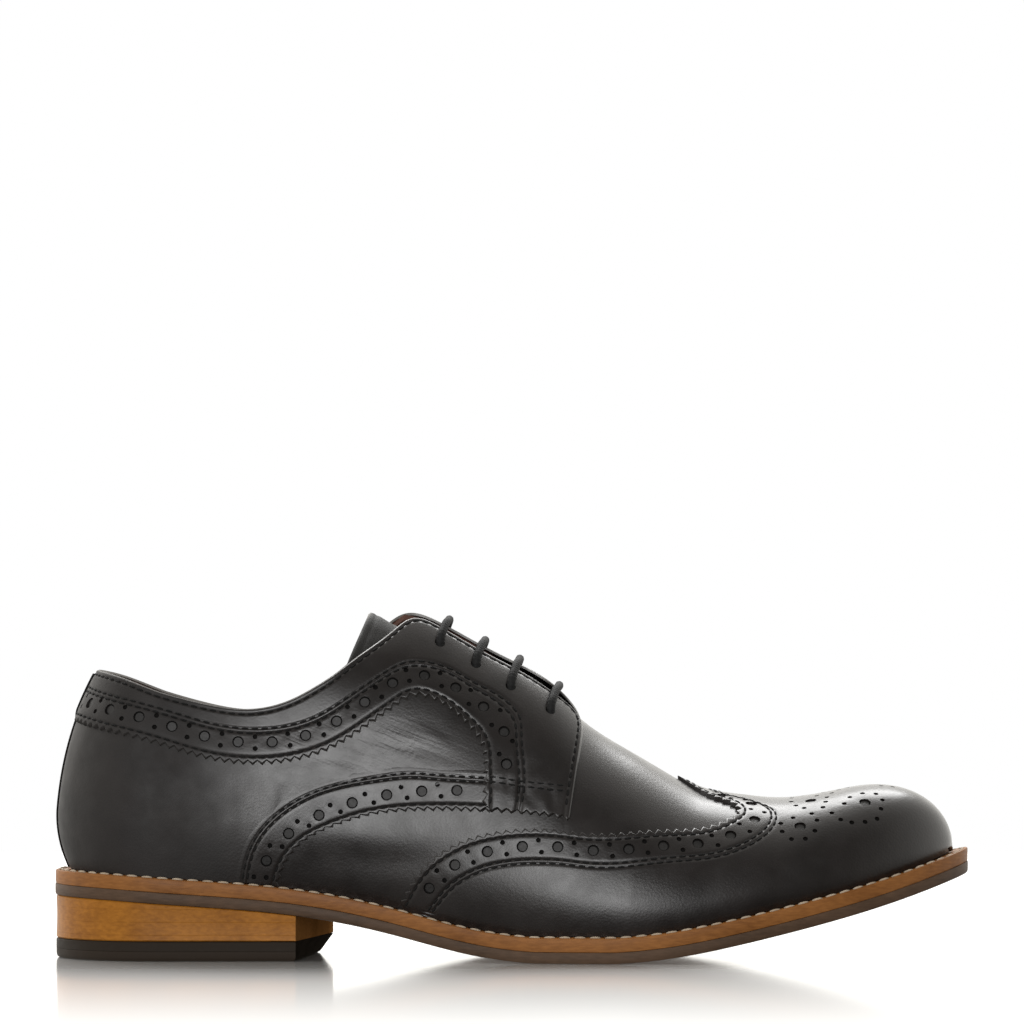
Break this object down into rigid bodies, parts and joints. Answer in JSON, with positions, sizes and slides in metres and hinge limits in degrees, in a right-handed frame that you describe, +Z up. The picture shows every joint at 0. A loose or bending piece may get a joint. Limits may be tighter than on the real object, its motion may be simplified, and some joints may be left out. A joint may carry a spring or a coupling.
{
  "type": "brogue derby shoe",
  "caption": "Right wing-tip brogue derby: hollow leather upper with punched overlays and straight lace bars on a welted sole with a stacked heel.",
  "frame": {"origin": "on the floor under the middle of the shoe's box", "axes": "+X from heel to toe, +Y to the medial (inner) side, +Z up from the floor"},
  "size_m": [0.306, 0.103, 0.1165],
  "materials": {
    "black_leather": "satin polished calf leather",
    "welt": "tan edge, lightly polished",
    "outsole": "dark brown stained edge",
    "heel_stack": "honey stained stacked heel",
    "top_piece": "matt black rubber",
    "lining": "reddish brown lining leather",
    "lace": "round waxed cotton cord"
  },
  "bodies": {
    "root": {"upper": "black_leather", "wing_cap": "black_leather", "facing_lateral": "black_leather", "facing_medial": "black_leather", "side_band_lateral": "black_leather", "side_band_medial": "black_leather", "tongue": "black_leather", "insole": "lining", "welt": "welt", "outsole": "outsole", "heel_block": "heel_stack", "heel_top_piece": "top_piece", "lace_bar_1": "lace", "lace_bar_2": "lace", "lace_bar_3": "lace", "lace_bar_4": "lace"}
  },
  "joints": []
}
